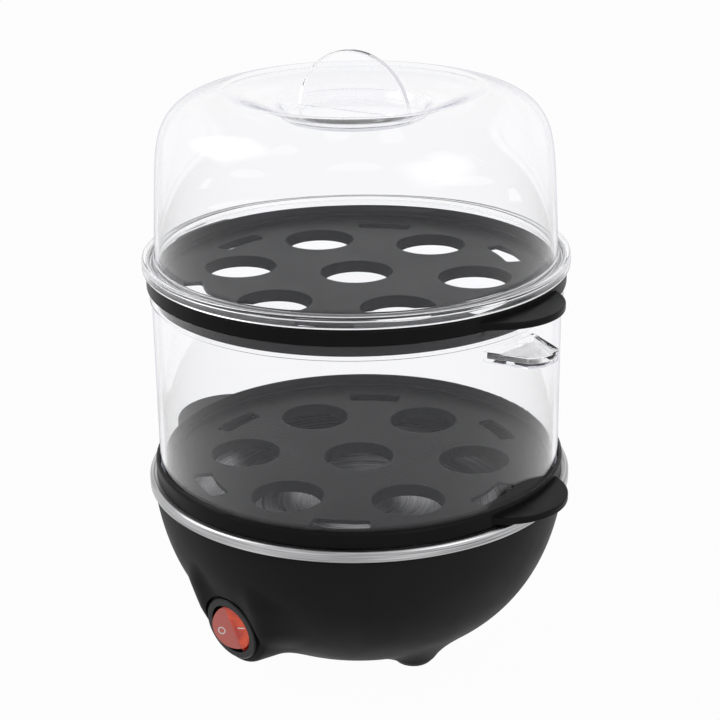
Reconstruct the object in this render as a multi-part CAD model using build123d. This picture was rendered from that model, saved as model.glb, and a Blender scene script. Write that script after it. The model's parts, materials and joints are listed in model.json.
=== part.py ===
"""Double-tier electric egg boiler: a bowl-shaped heating base with a round rocker switch,
a stainless heating dish, two perforated egg trays, a clear middle cover and a clear domed lid.

Lengths are in millimetres. Z is up, the switch faces -Y, and the origin lies on the axis of
the body, at the level of the foot undersides."""
import math
import os

from build123d import *

# ---------------------------------------------------------------- fits and clearances
lift_gap = 0.3            # between pieces that lift apart
part_gap = 0.2            # between fixed pieces that only stand beside each other
running_gap = 0.06        # radial clearance of a pin in its hole
thread_gap = 0.03         # radial clearance of a screw or stud in its thread
dish_fit = 0.8            # radial room of the tray skirt inside the dish
wall_fit = 0.3            # radial room of a clear wall in the tray channel

# ---------------------------------------------------------------- base housing
bowl_top_r = 91.0         # outer radius of the housing at its top edge
bowl_top_z = 76.5
bowl_widest_rise = 22.2   # the bowl curve would be widest this far above the top edge
bowl_sink = 2.5           # and would close this far below the table
bowl_power = 2.55         # squareness of the bowl curve
housing_wall = 2.2
ledge_clear = 0.4         # room between the top edge of the housing and the dish wall
ledge_depth = 3.0         # thickness of that edge, which carries the seal
foot_height = 6.0         # level of the housing underside above the table
foot_r = 8.0
foot_flare = 6.5          # the foot widens by this where it runs into the bowl
foot_rise = 15.0
foot_edge = 3.5
foot_clear = 0.6          # between a foot and the rim of the bottom opening
foot_angles = (-16.0, 56.0, 124.0, 196.0)
cover_r = 33.0            # bottom cover
cover_thick = 2.4
cover_step = 2.0          # width of the ledge that the bottom cover closes against
cover_screw_inset = 3.8   # screw centres inside the edge of the cover
cover_screw_r = 1.5
cover_screw_flare = 1.4   # the countersunk head is this much larger in radius
cover_screw_length = 10.0
cover_screw_angles = (-35.0, 90.0, 215.0)
cross_width = 0.7         # cross recess of the screws
cross_depth = 0.8
cross_land = 0.2
cover_boss_wall = 2.1
cover_boss_cap = 2.4      # closed end of the screw bosses
vent_count = 10
vent_length = 12.0
vent_width = 2.4
vent_clear = 2.3          # between the vents and the screw heads

# ---------------------------------------------------------------- switch
switch_z = 28.0           # height of the switch centre
switch_proud = 6.4        # bezel face in front of the bowl at that height
switch_droop = 8.0        # degrees that the face looks downwards
switch_lean = 20.0        # the switch is turned this much in its face
aperture_r = 11.2         # round opening that the rocker fills
switch_body_wall = 1.3
bezel_lap = 1.85          # the bezel is this much larger in radius than the barrel
bezel_thick = 2.0
bezel_edge = 0.5
bezel_recess = 1.2        # groove round the bezel where it sits into the bowl
boss_land = 1.65          # flat face of the housing boss round that groove
boss_flare = 8.0          # the boss widens by this where it runs into the bowl
boss_length = 30.0
boss_rise = 30.0          # the straight sides of the boss run up this far, into the bowl
boss_edge = 2.2
switch_cavity = 12.0      # floor of the switch cavity below the rocker pivot
switch_floor = 1.8
rocker_gap = 1.1
rocker_depth = 3.0        # rocker pivot below the bezel face
rocker_crown = 2.0        # rocker valley above its pivot
rocker_throw = 24.0       # degrees from I back to O
rocker_under = 2.2        # thickness of the rocker below its pivot
pivot_pin_r = 1.2
pivot_pin_inset = 0.4     # end of the pivot pin inside the surface of the barrel
plunger_r = 1.5
plunger_round = 1.2
plunger_gap = 0.25        # between the plunger and the pin of the contact lever
lever_half = 6.0          # contact lever, half length
lever_width = 4.0
lever_thick = 0.8
lever_tilt = 7.0          # degrees to either side of level
lever_pin_r = 0.6
lever_height = 2.2        # lever pivot above the cavity floor
pillar_thick = 1.4
pillar_half = 2.0
pillar_gap = 0.3
blade_width = 4.8
blade_thick = 0.8
blade_length = 9.0
blade_pitch = 5.2
contact_gap = 0.26        # left between the lever and the fixed contact at I
neon_r = 1.7
neon_length = 8.0
neon_clear = 1.0          # between the neon lamp and the lever pillar
neon_depth = 7.5          # lamp centre below the rocker pivot
mark_relief = 0.25        # depth of the O and I marks on the rocker
mark_ring_r = 1.75
mark_bar = 5.0            # length of the I
mark_stroke = 0.55
mark_place = 5.7          # distance of each mark from the rocker valley

# ---------------------------------------------------------------- heating dish and heater
dish_sheet = 0.8
rim_clear = 0.7           # the rolled rim hangs this far outside the housing
rim_drop = 4.6            # depth of the rolled rim
rim_roll = 2.0
dish_depth = 19.0
dish_shoulder = 23.6      # width of the sloping shoulder between the floor and the mouth
dish_corner = 12.0
dish_wall_height = 8.0
dish_wall_corner = 6.0
seal_thick = 2.2
spreader_edge = 2.3       # the heat spreader reaches this far past the element
spreader_thick = 2.0
thermostat_r = 8.0
thermostat_height = 7.0
thermostat_edge = 0.6
thermostat_blade_width = 4.0
thermostat_blade_length = 6.0
thermostat_blade_thick = 0.8
thermostat_blade_rise = 1.4
strap_width = 8.0
strap_thick = 1.0
strap_end = 0.8           # strap past the screw heads
strap_screw_r = 1.5
strap_screw_head_r = 2.8
strap_screw_head = 1.8
strap_screw_slot = 0.8
strap_screw_clear = 1.6   # between the screw heads and the thermostat
fuse_r = 2.0
fuse_length = 12.0
fuse_clear = 0.9          # between the fuse clip and the strap
clip_width = 5.0
clip_thick = 0.6
clip_foot = 2.0
element_tube_r = 3.2
element_clear = 2.2       # between the element and the fuse clip
element_gap_angle = 50.0
element_gap_at = 40.0
element_leg = 13.0
element_pin_r = 1.2
element_pin_length = 5.0
stud_r = 2.0
stud_inset = 10.0         # stud centres inside the edge of the dish floor
stud_end = 1.4            # stud past its nut
stud_angles = (30.0, 150.0, 270.0)
nut_wall = 1.5            # across the flats, each side
nut_height = 3.2
washer_lap = 0.9          # washer outside the flats of the nut
washer_thick = 0.9
lug_drop = 11.0           # top of the housing lugs below the dish floor
lug_thick = 3.0
lug_land = 1.6            # shelf inwards of the washer
rib_clear = 0.4           # between the washer and the ribs of the lug
rib_depth = 5.5
earth_blade_length = 9.0
earth_blade_width = 4.8

# ---------------------------------------------------------------- cord gland and leads
gland_z = 32.0
gland_bore_r = 3.4
gland_wall = 2.0
gland_lap = 2.0           # outer flange past the neck
gland_inner_step = 1.0    # the inner flange is this much smaller in radius
gland_flange = 2.0
gland_tail = 7.0
gland_tail_wall = 1.6
gland_tail_taper = 0.6
gland_recess = 0.8        # groove round the gland flange where it sits into the bowl
gland_pad_land = 1.8
gland_pad_proud = 0.55    # flat pad in front of the bowl at the height of the gland
gland_pad_thick = 8.0
lead_r = 1.1
lead_step = 2.0           # sideways step of a lead between two runs
blade_run = 9.0           # first runs of the leads, out of the blades of the switch,
thermostat_run = 11.0     # out of the blades of the thermostat,
heater_run = 6.5
pin_run = 8.0             # into the pins of the element,
fuse_run = 4.5            # out of the fuse
fuse_drop = 5.5
cap_run = 8.0             # and into the crimp cap
cap_wall = 0.4            # crimp cap round its two leads
cap_length = 11.0
cap_edge = 1.2
cap_x = 20.0              # mouth of the crimp cap
cap_y = -33.0
cap_z = 34.0
heater_approach = -8.0    # directions in which leads meet the element pins, in degrees
fuse_approach = -32.0

# ---------------------------------------------------------------- egg trays
tray_inset = 1.5          # tray edge inside the top edge of the housing
tray_floor = 1.8
tray_lip = 1.6
tray_lip_height = 7.0
tray_lip_edge = 1.2
channel_width = 2.6
ridge_width = 1.8
ridge_height = 3.4
skirt_wall = 1.8
skirt_drop = 5.4
skirt_step = 0.5          # the skirt stands this much inside the channel
cup_count = 6
cup_hole_r = 15.5
cup_taper = 1.2
cup_wall = 1.6
cup_drop = 3.0
cup_bridge = 16.8         # floor between the middle hole and the others
slot_land = 9.0           # floor between the steam slots and the skirt
slot_width = 8.0
slot_half_angle = 10.0
slot_corner = 2.0
tab_r = 28.3
tab_inset = 15.5          # centre of the tab's round edge inside the tray edge
tab_top = 4.2
tab_thick = 3.0
tab_edge = 0.6

# ---------------------------------------------------------------- clear covers
clear_wall = 2.0
cover_height = 83.5       # middle cover, foot to top edge
band_height = 6.3
band_extra = 0.8
handle_half = 15.5
handle_tip_half = 9.0
handle_length = 20.9
handle_height = 4.4
handle_wall = 1.6
handle_floor = 1.6
handle_bow = 3.5          # how far the tip of a handle bulges
handle_drop = 8.6         # top of the handles below the top edge
lid_overhang = 1.5        # lid flange past the tray edge
lid_flange_height = 4.9
lid_flange_plate = 2.0
lid_flange_edge = 0.8
lid_skirt_wall = 2.2
lid_wall = 1.8
lid_wall_lap = 0.3        # the lid wall runs this far into its foot ring
lid_draft = 0.058         # inward lean of the lid wall, mm per mm
lid_wall_height = 22.7    # straight part above the flange
lid_shoulder = 47.9       # height of the full shoulder curve
lid_shoulder_power = 4.92
recess_slope = 25.0       # width of the slope from the top ridge down to the well
recess_depth = 6.3
well_slope = 2.4          # width of the well's leaning side
well_depth = 3.4
well_clear = 2.0          # between the knob and the side of the well
knob_r = 26.6
knob_rise = 25.4
knob_thick = 3.4
knob_edge = 0.8
knob_root = 1.0           # the knob runs this far into the well floor

# ---------------------------------------------------------------- how the loose pieces stand
lower_tray_turn = 6.5
cover_turn = -3.0
upper_tray_turn = 2.0
knob_turn = 11.6

# ---------------------------------------------------------------- radii worked out from the above
tray_rim_r = bowl_top_r - tray_inset
channel_outer_r = tray_rim_r - tray_lip
channel_inner_r = channel_outer_r - channel_width
cover_outer_r = channel_outer_r - wall_fit
tray_skirt_r = channel_inner_r - skirt_step
slot_outer_r = tray_skirt_r - skirt_wall - slot_land
slot_inner_r = slot_outer_r - slot_width
cup_pitch_r = 2 * (cup_hole_r + cup_wall) + cup_bridge
dish_mouth_r = tray_skirt_r + dish_fit
dish_floor_r = dish_mouth_r - dish_shoulder
dish_rim_r = bowl_top_r + rim_clear + dish_sheet
ledge_inner_r = dish_mouth_r + dish_sheet + ledge_clear
handle_reach = cover_outer_r + handle_length
lid_flange_r = tray_rim_r + lid_overhang
lid_wall_r = cover_outer_r - clear_wall + lid_wall_lap
well_r = knob_r + well_clear
recess_r = well_r + well_slope
ridge_r = recess_r + recess_slope
cover_screw_pitch_r = cover_r - cover_screw_inset
cover_screw_head_r = cover_screw_r + cover_screw_flare
vent_pitch_r = cover_screw_pitch_r - cover_screw_head_r - vent_clear - vent_length / 2
opening_rim_r = cover_r + part_gap + housing_wall
foot_pitch_r = opening_rim_r + foot_clear + foot_r
barrel_r = aperture_r + switch_body_wall
bezel_r = barrel_r + bezel_lap
boss_face_r = bezel_r + bezel_recess + boss_land
neon_offset = lever_width / 2 + pillar_gap + pillar_thick + neon_clear + neon_r
strap_screw_offset = thermostat_r + strap_screw_clear + strap_screw_head_r
strap_half = strap_screw_offset + strap_screw_head_r + strap_end
fuse_offset = strap_half + fuse_clear + clip_foot + clip_thick + fuse_r
element_ring_r = fuse_offset + fuse_r + clip_thick + clip_foot + element_clear + element_tube_r
spreader_r = element_ring_r + element_tube_r + spreader_edge
stud_pitch_r = dish_floor_r - stud_inset
nut_flats = 2 * (stud_r + nut_wall)
washer_r = nut_flats / 2 + washer_lap
lug_half_width = washer_r + rib_clear + housing_wall
gland_neck_r = gland_bore_r + gland_wall
gland_flange_r = gland_neck_r + gland_lap
gland_pad_r = gland_flange_r + gland_recess + gland_pad_land
cap_r = 2 * lead_r + cap_wall

# ---------------------------------------------------------------- levels worked out from the above
seal_top = bowl_top_z + seal_thick
dish_top = seal_top + dish_sheet
dish_floor_top = dish_top - dish_depth
dish_under = dish_floor_top - dish_sheet
spreader_under = dish_under - spreader_thick
ring_z = spreader_under - element_tube_r
strap_z = spreader_under - thermostat_height
fuse_z = spreader_under - fuse_r
pin_top_z = ring_z - element_leg
lead_z = pin_top_z - element_pin_length / 2
lug_top = dish_under - lug_drop
washer_low = lug_top - lug_thick - washer_thick
stud_low = washer_low - nut_height - stud_end
lower_tray_z = dish_top + lift_gap
middle_cover_z = lower_tray_z + tray_floor + lift_gap
upper_tray_z = middle_cover_z + cover_height + lift_gap
lid_foot_z = upper_tray_z + tray_floor + lift_gap
lid_seat_z = upper_tray_z + tray_lip_height + lift_gap
lid_flange_top = lid_seat_z + lid_flange_height
housing_floor_top = foot_height + housing_wall
cover_low = foot_height + part_gap
cover_seat = cover_low + cover_thick
screw_top = cover_low + cover_screw_length

FAR = 400.0               # longer than anything in the object
STAND = (Align.CENTER, Align.CENTER, Align.MIN)
HANG = (Align.CENTER, Align.CENTER, Align.MAX)


def bowl_radius(z):
    """Outer radius of the bowl: a quarter of a squarish oval, cut off at the top edge."""
    widest = bowl_top_z + bowl_widest_rise
    drop = widest + bowl_sink
    cut = (1 - (bowl_widest_rise / drop) ** bowl_power) ** (1 / bowl_power)
    share = min(max((widest - z) / drop, 0.0), 1.0)
    return bowl_top_r / cut * (1 - share ** bowl_power) ** (1 / bowl_power)


def bowl_inside(z):
    """Inner radius at the same level, one wall thickness away along the surface normal."""
    step = 0.5
    slope = (bowl_radius(z + step) - bowl_radius(z - step)) / (2 * step)
    return bowl_radius(z) - housing_wall * math.hypot(1, slope)


def turned(points):
    """Closed polygon in the XZ plane, revolved about Z."""
    return revolve(Plane.XZ * make_face(Polyline(*points, close=True)), axis=Axis.Z)


def ring(inner, outer, low, high):
    """Plain ring between two radii and two levels."""
    return turned([(inner, low), (outer, low), (outer, high), (inner, high)])


def disc(radius, low, high):
    return Pos(0, 0, low) * Cylinder(radius, high - low, align=STAND)


def polar(radius, angle):
    return radius * math.cos(math.radians(angle)), radius * math.sin(math.radians(angle))


def spin(shape, angle):
    return Rot(0, 0, angle) * shape


def bowl_solid(radius_at, low, high, count=14):
    """Body of revolution under a radius law, from one level to another."""
    levels = [low + (high - low) * (k / count) ** 1.6 for k in range(count + 1)]
    side = Spline(*[(radius_at(z), z) for z in levels])
    rest = Polyline((radius_at(high), high), (0, high), (0, low), (radius_at(low), low))
    return revolve(Plane.XZ * make_face(side + rest), axis=Axis.Z)


def dome_outline(inset):
    """Half section of the lid above its flange, moved inwards by the inset.

    A leaning wall, a superellipse shoulder, a cosine slope into the recess, and the well."""
    start = lid_flange_top - lid_flange_plate
    corner_z = lid_flange_top + lid_wall_height
    foot = lid_wall_r - inset
    height = lid_shoulder - inset
    top_share = (1 - (ridge_r / (lid_wall_r - lid_draft * (lid_wall_height + lid_shoulder)))
                 ** lid_shoulder_power) ** (1 / lid_shoulder_power)
    steps = 9
    side = []
    for k in range(1, steps + 1):
        share = top_share * math.sin(math.pi / 2 * k / steps)
        wall_here = foot - lid_draft * (lid_wall_height + lid_shoulder * share)
        side.append((wall_here * (1 - share ** lid_shoulder_power) ** (1 / lid_shoulder_power),
                     corner_z + height * share))
    top_r, top_z = side[-1]
    slope_steps = 6
    for k in range(1, slope_steps + 1):
        along = k / slope_steps
        side.append((top_r + (recess_r + inset - top_r) * along,
                     top_z - recess_depth * (1 - math.cos(math.pi * along)) / 2))
    wall = Line((foot, start), (foot - lid_draft * lid_wall_height, corner_z))
    curve = Spline((foot - lid_draft * lid_wall_height, corner_z), *side,
                   tangents=((-lid_draft, 1), (-1, 0)))
    well_z = side[-1][1] - well_depth
    well = Polyline(side[-1], (well_r + inset, well_z), (0, well_z), (0, start), (foot, start))
    return make_face(wall + curve + well), well_z


def wire_path(points):
    """Straight runs joined by tangent arcs, each as large as its two runs allow."""
    radii = []
    for a, b, c in zip(points, points[1:], points[2:]):
        before, after = Vector(*b) - Vector(*a), Vector(*c) - Vector(*b)
        turn = math.radians(before.get_angle(after))
        radii.append(0.45 * min(before.length, after.length) / math.tan(turn / 2))
    print("lead bend radii", [round(r, 1) for r in radii])
    return FilletPolyline(*points, radius=radii)


def lead(points):
    """Insulated lead along a route."""
    path = wire_path(points)
    start = Plane(origin=path @ 0, z_dir=path % 0)
    return sweep(start * Circle(lead_r), path=path)


# ---------------------------------------------------------------- base housing pieces
droop = math.radians(switch_droop)
lean = math.radians(switch_lean)
gland_pad_face = bowl_radius(gland_z) + gland_pad_proud


def facing_out(shape, distance, height):
    """Stands a Z-up shape on end, pointing from a distance along +Y back to the axis."""
    return Pos(0, distance, height) * Rot(90, 0, 0) * shape


def switch_axis(distance, x_dir=(1, 0, 0)):
    """Plane that faces along the switch, at a distance behind the bezel face."""
    z_dir = Vector(0, -math.cos(droop), -math.sin(droop))
    face = Vector(0, -bowl_radius(switch_z) - switch_proud, switch_z)
    return Plane(origin=face - z_dir * distance, x_dir=x_dir, z_dir=z_dir)


def boss_solid(inset):
    """Tapered boss on the axis of the switch, moved inwards by the inset: a cone round its lower
    half, and above it two leaning sides that meet the cone tangentially."""
    face_r = boss_face_r - inset * math.hypot(1, boss_flare / boss_length)
    back_r = face_r + boss_flare
    boss = Cone(back_r, face_r, boss_length, align=HANG)
    plan = Polyline((-face_r, 0), (face_r, 0), (back_r, -boss_length), (-back_r, -boss_length), close=True)
    boss += extrude(Plane.XZ * make_face(plan), -boss_rise)
    return switch_axis(bezel_thick + inset).location * boss


def above(level):
    return Pos(0, 0, level) * Box(FAR, FAR, FAR, align=STAND)


def foot():
    stub = Cone(foot_r, foot_r + foot_flare, foot_rise, align=STAND)
    return fillet(stub.edges().sort_by(Axis.Z)[0], foot_edge)


def stud_lug():
    """Shelf on two ribs that a dish stud passes through, before it is cut to the wall."""
    shelf = Pos(stud_pitch_r - washer_r - lug_land, 0, lug_top - lug_thick) * Box(
        FAR, 2 * lug_half_width, lug_thick, align=(Align.MIN, Align.CENTER, Align.MIN))
    for side in (-1, 1):
        shelf += Pos(stud_pitch_r, side * (lug_half_width - housing_wall / 2), lug_top - rib_depth) * Box(
            FAR, housing_wall, rib_depth, align=(Align.MIN, Align.CENTER, Align.MIN))
    return shelf - Pos(stud_pitch_r, 0, 0) * disc(stud_r + part_gap, 0, FAR)


def base_housing():
    boss = boss_solid(0)
    boss = fillet(boss.faces().sort_by(Axis.Y)[0].edges().sort_by(Axis.Z)[:-1], boss_edge)
    pad = facing_out(Cylinder(gland_pad_r, gland_pad_thick, align=STAND), gland_pad_face, gland_z)
    housing = bowl_solid(bowl_radius, foot_height, bowl_top_z) + (boss & above(0))
    inside = bowl_solid(bowl_inside, housing_floor_top, bowl_top_z - ledge_depth)
    inside += boss_solid(housing_wall) & above(housing_floor_top)
    for angle in foot_angles:
        place = Pos(*polar(foot_pitch_r, angle), 0)
        housing += place * foot()
        inside += place * disc(foot_r - housing_wall, housing_wall, housing_floor_top)
    housing -= inside
    housing -= disc(ledge_inner_r, bowl_top_z - ledge_depth, bowl_top_z)
    housing += pad
    # stepped opening that the bottom cover closes, with its screw bosses
    housing += ring(cover_r - cover_step, opening_rim_r, foot_height, cover_seat + housing_wall)
    for angle in cover_screw_angles:
        housing += Pos(*polar(cover_screw_pitch_r, angle), 0) * disc(
            cover_screw_r + cover_boss_wall, cover_seat, screw_top + cover_boss_cap)
    housing -= disc(cover_r + part_gap, 0, cover_seat)
    for angle in cover_screw_angles:
        housing -= Pos(*polar(cover_screw_pitch_r, angle), 0) * disc(
            cover_screw_r + thread_gap, 0, screw_top + part_gap)
    within = bowl_solid(bowl_radius, housing_floor_top, bowl_top_z - ledge_depth)
    for angle in stud_angles:
        housing += spin(stud_lug(), angle) & within
    # seats of the switch and of the cord gland
    housing -= in_switch(Pos(0, 0, rocker_depth) * Cylinder(
        barrel_r + part_gap, 2 * (bezel_thick + housing_wall), align=HANG))
    housing -= in_switch(Pos(0, 0, rocker_depth - bezel_thick) * Cylinder(
        bezel_r + bezel_recess, boss_length, align=STAND))
    housing -= Pos(0, gland_pad_face, gland_z) * Rot(-90, 0, 0) * Cylinder(
        gland_flange_r + gland_recess, gland_pad_thick, align=STAND)
    housing -= facing_out(Cylinder(gland_neck_r + part_gap / 2, 4 * gland_pad_thick), gland_pad_face, gland_z)
    return housing


def bottom_cover():
    cover = disc(cover_r, cover_low, cover_seat)
    vent = Pos(vent_pitch_r, 0, 0) * extrude(SlotOverall(vent_length, vent_width), 2 * cover_seat)
    for k in range(vent_count):
        cover -= spin(vent, 360 * k / vent_count)
    sink = turned([(0, cover_low), (cover_screw_head_r + part_gap, cover_low),
                   (cover_screw_r + part_gap, cover_low + cover_screw_flare),
                   (cover_screw_r + part_gap, cover_seat), (0, cover_seat)])
    for angle in cover_screw_angles:
        cover -= Pos(*polar(cover_screw_pitch_r, angle), 0) * sink
    return cover


def bottom_screws():
    """Countersunk self-tapping screws with a cross recess."""
    neck = cover_low + cover_screw_flare
    screw = turned([(0, cover_low), (cover_screw_head_r, cover_low), (cover_screw_r, neck),
                    (cover_screw_r, screw_top), (0, screw_top)])
    cross_half = cover_screw_head_r - cross_depth - cross_land
    for turn in (0, 90):
        screw -= Pos(0, 0, cover_low) * Rot(0, 0, turn) * Box(2 * cross_half, cross_width, 2 * cross_depth)
    return [Pos(*polar(cover_screw_pitch_r, angle), 0) * screw for angle in cover_screw_angles]


def cord_gland():
    """Bush with an outer flange and tapered tail, a neck in the housing wall and an inner flange."""
    back = -gland_pad_thick - gland_flange
    tip = gland_flange + gland_tail
    inner_r = gland_flange_r - gland_inner_step
    tail_r = gland_bore_r + gland_tail_wall
    bush = turned([(gland_bore_r, back), (inner_r, back), (inner_r, -gland_pad_thick),
                   (gland_neck_r, -gland_pad_thick), (gland_neck_r, 0), (gland_flange_r, 0),
                   (gland_flange_r, gland_flange), (tail_r + gland_tail_taper, gland_flange),
                   (tail_r, tip), (gland_bore_r, tip)])
    return Pos(0, gland_pad_face, gland_z) * Rot(-90, 0, 0) * bush


# ---------------------------------------------------------------- switch
# Local x runs across the rocker towards its I side, local y along its pivot, local z outwards.
switch_plane = switch_axis(rocker_depth, (math.cos(lean), -math.sin(droop) * math.sin(lean),
                                          math.cos(droop) * math.sin(lean)))
cavity_z = -switch_cavity
lever_z = cavity_z + lever_height
blade_end_z = cavity_z - switch_floor - blade_length
rocker_r = aperture_r - rocker_gap
plunger_length = switch_cavity - lever_height - max(lever_thick / 2, lever_pin_r) - rocker_under - plunger_gap
facet_slope = math.tan(math.radians(rocker_throw / 2))
lever_slope = math.radians(lever_tilt)
contact_reach = blade_pitch + blade_thick / 2
contact_rise = (lever_height - lever_thick / 2 / math.cos(lever_slope)
                - contact_reach * math.tan(lever_slope) - contact_gap)


def in_switch(shape):
    return switch_plane.location * shape


def switch_point(x, z):
    """Place on the switch's middle plane, in the object's frame."""
    return tuple((switch_plane.location * Location((x, 0, z))).position)


def across_switch(radius, length):
    """Round bar along the rocker pivot direction."""
    return Rot(90, 0, 0) * Cylinder(radius, length)


def switch_body():
    """Bezel, barrel and floor in one moulding, with the pivot holes, lever pillars and lamp cradle."""
    bezel = Pos(0, 0, rocker_depth - bezel_thick) * Cylinder(bezel_r, bezel_thick, align=STAND)
    bezel = chamfer(bezel.edges().sort_by(Axis.Z)[-1], bezel_edge)
    low = cavity_z - switch_floor
    body = bezel + Pos(0, 0, low) * Cylinder(barrel_r, rocker_depth - bezel_thick - low, align=STAND)
    body -= Pos(0, 0, cavity_z) * Cylinder(aperture_r, switch_cavity + rocker_depth, align=STAND)
    body += Pos(0, neon_offset, low) * Box(
        neon_length / 2, neon_r, switch_cavity + switch_floor - neon_depth - neon_r, align=STAND)
    for side in (-1, 1):
        body += Pos(0, side * (lever_width + pillar_thick + 2 * pillar_gap) / 2, low) * Box(
            2 * pillar_half, pillar_thick, switch_floor + lever_height + 2 * lever_pin_r, align=STAND)
    body -= Pos(0, 0, lever_z) * across_switch(lever_pin_r + running_gap,
                                               lever_width + 2 * (pillar_gap + pillar_thick))
    body -= across_switch(pivot_pin_r + running_gap, 2 * barrel_r)
    for k in (-1, 0, 1):
        body -= Pos(k * blade_pitch, 0, low) * Box(blade_thick, blade_width, switch_floor, align=STAND)
    return in_switch(body)


def switch_blades():
    """Flat terminals through the floor of the switch; the first is the fixed contact."""
    blades = []
    for k in (-1, 0, 1):
        top = cavity_z + (contact_rise if k == -1 else 0)
        blades.append(in_switch(Pos(k * blade_pitch, 0, blade_end_z) * Box(
            blade_thick, blade_width, top - blade_end_z, align=STAND)))
    return blades


def rocker_marks_flat():
    """I on the side that is pressed at rest, O on the other, on their facets."""
    marks = []
    bar = Box(mark_bar, mark_stroke, mark_relief, align=HANG)
    circle = Cylinder(mark_ring_r, mark_relief, align=HANG)
    circle -= Cylinder(mark_ring_r - mark_stroke, 4 * mark_relief)
    for side, mark in ((-1, circle), (1, bar)):
        facet = Pos(0, 0, rocker_crown) * Rot(0, -side * rocker_throw / 2, 0)
        marks.append(facet * Pos(side * mark_place, 0, 0) * mark)
    return marks


def at_rest(shape):
    """Tips a rocker piece from its level position to I pressed."""
    return in_switch(Rot(0, rocker_throw / 2, 0) * shape)


def switch_rocker():
    """Ball-sided paddle with a V-shaped face, pivot pins and a plunger below."""
    edge_z = rocker_crown + aperture_r * facet_slope
    section = Polyline((-aperture_r, -rocker_under), (aperture_r, -rocker_under), (aperture_r, edge_z),
                       (0, rocker_crown), (-aperture_r, edge_z), close=True)
    slab = extrude(Plane.XZ * make_face(section), aperture_r, both=True)
    paddle = Sphere(rocker_r) & slab
    paddle += across_switch(pivot_pin_r, 2 * (barrel_r - pivot_pin_inset))
    stem = Pos(0, 0, -rocker_under - plunger_length) * Cylinder(
        plunger_r, rocker_under + plunger_length, align=STAND)
    stem = fillet(stem.edges().sort_by(Axis.Z)[0], plunger_round)
    paddle += stem
    for mark in rocker_marks_flat():
        paddle -= mark
    return at_rest(paddle)


def rocker_marks():
    return [at_rest(mark) for mark in rocker_marks_flat()]


def contact_lever():
    """See-saw contact on two trunnions, with a dimple of metal under its contact end."""
    bar = Box(2 * lever_half, lever_width, lever_thick)
    bar += across_switch(lever_pin_r, lever_width + 2 * pillar_gap + pillar_thick)
    return in_switch(Pos(0, 0, lever_z) * Rot(0, -lever_tilt, 0) * bar)


def neon_lamp():
    lamp = Rot(0, 90, 0) * Cylinder(neon_r, neon_length)
    return in_switch(Pos(0, neon_offset, -neon_depth) * lamp)


# ---------------------------------------------------------------- dish and heater
def heating_dish():
    """Pressed stainless dish: flat floor, sloping shoulder, upright wall and a rolled rim."""
    shoulder_z = dish_top - dish_wall_height
    route = [(0, dish_floor_top), (dish_floor_r, dish_floor_top), (dish_mouth_r, shoulder_z),
             (dish_mouth_r, dish_top), (dish_rim_r, dish_top), (dish_rim_r, dish_top - rim_drop)]
    outside = FilletPolyline(*route, radius=[dish_corner, dish_wall_corner, rim_roll, rim_roll])
    half_turn = math.atan2(shoulder_z - dish_floor_top, dish_mouth_r - dish_floor_r) / 2
    foot_shift = dish_sheet * math.tan(half_turn)
    wall_shift = dish_sheet * math.tan(math.pi / 4 - half_turn)
    wall_out = dish_mouth_r + dish_sheet
    rim_in = dish_rim_r - dish_sheet
    back = [(0, dish_under), (dish_floor_r + foot_shift, dish_under), (wall_out, shoulder_z - wall_shift),
            (wall_out, seal_top), (rim_in, seal_top), (rim_in, dish_top - rim_drop)]
    inner_roll = rim_roll - dish_sheet
    inside = FilletPolyline(*back, radius=[dish_corner - dish_sheet, dish_wall_corner + dish_sheet,
                                           inner_roll, inner_roll])
    ends = Line(route[0], back[0]) + Line(route[-1], back[-1])
    return revolve(Plane.XZ * make_face(outside + inside + ends), axis=Axis.Z)


def dish_seal():
    return ring(dish_mouth_r + rim_roll, dish_rim_r - rim_roll, bowl_top_z, seal_top)


def dish_studs():
    stud = Pos(stud_pitch_r, 0, 0) * disc(stud_r, stud_low, dish_under)
    return [spin(stud, angle) for angle in stud_angles]


def stud_washers():
    washer = Pos(stud_pitch_r, 0, 0) * ring(
        stud_r + thread_gap, washer_r, washer_low, washer_low + washer_thick)
    return [spin(washer, angle) for angle in stud_angles[::2]]


def earth_tag():
    """Ring tag with a flat blade, under the nut of the remaining stud."""
    tag = disc(washer_r, washer_low, washer_low + washer_thick)
    tag += Pos(0, 0, washer_low) * Box(washer_r + earth_blade_length, earth_blade_width, washer_thick,
                                align=(Align.MAX, Align.CENTER, Align.MIN))
    tag -= disc(stud_r + thread_gap, 0, FAR)
    return spin(Pos(stud_pitch_r, 0, 0) * tag, stud_angles[1])


def stud_nuts():
    hexagon = extrude(RegularPolygon(nut_flats / 2, 6, major_radius=False), nut_height)
    nut = Pos(stud_pitch_r, 0, washer_low - nut_height) * (
        hexagon - Cylinder(stud_r + thread_gap, 4 * nut_height))
    return [spin(nut, angle) for angle in stud_angles]


element_ends = (element_gap_at - element_gap_angle / 2, element_gap_at + element_gap_angle / 2)


def heat_spreader():
    plate = disc(spreader_r, spreader_under, dish_under)
    for side in (-1, 1):
        plate -= Pos(side * strap_screw_offset, 0, 0) * disc(
            strap_screw_r + thread_gap, spreader_under, dish_under)
    return plate


def heating_element():
    """Open ring of sheathed tube with two legs turned down and a pin in each."""
    section = Pos(element_ring_r, 0, ring_z) * Rot(90, 0, 0) * Circle(element_tube_r)
    tube = spin(revolve(section, axis=Axis.Z, revolution_arc=360 - element_gap_angle), element_ends[1])
    for angle in element_ends:
        leg = disc(element_tube_r, pin_top_z, ring_z)
        leg += Pos(0, 0, ring_z) * Sphere(element_tube_r)
        leg += disc(element_pin_r, pin_top_z - element_pin_length, pin_top_z)
        tube += Pos(*polar(element_ring_r, angle), 0) * leg
    return tube


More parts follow.
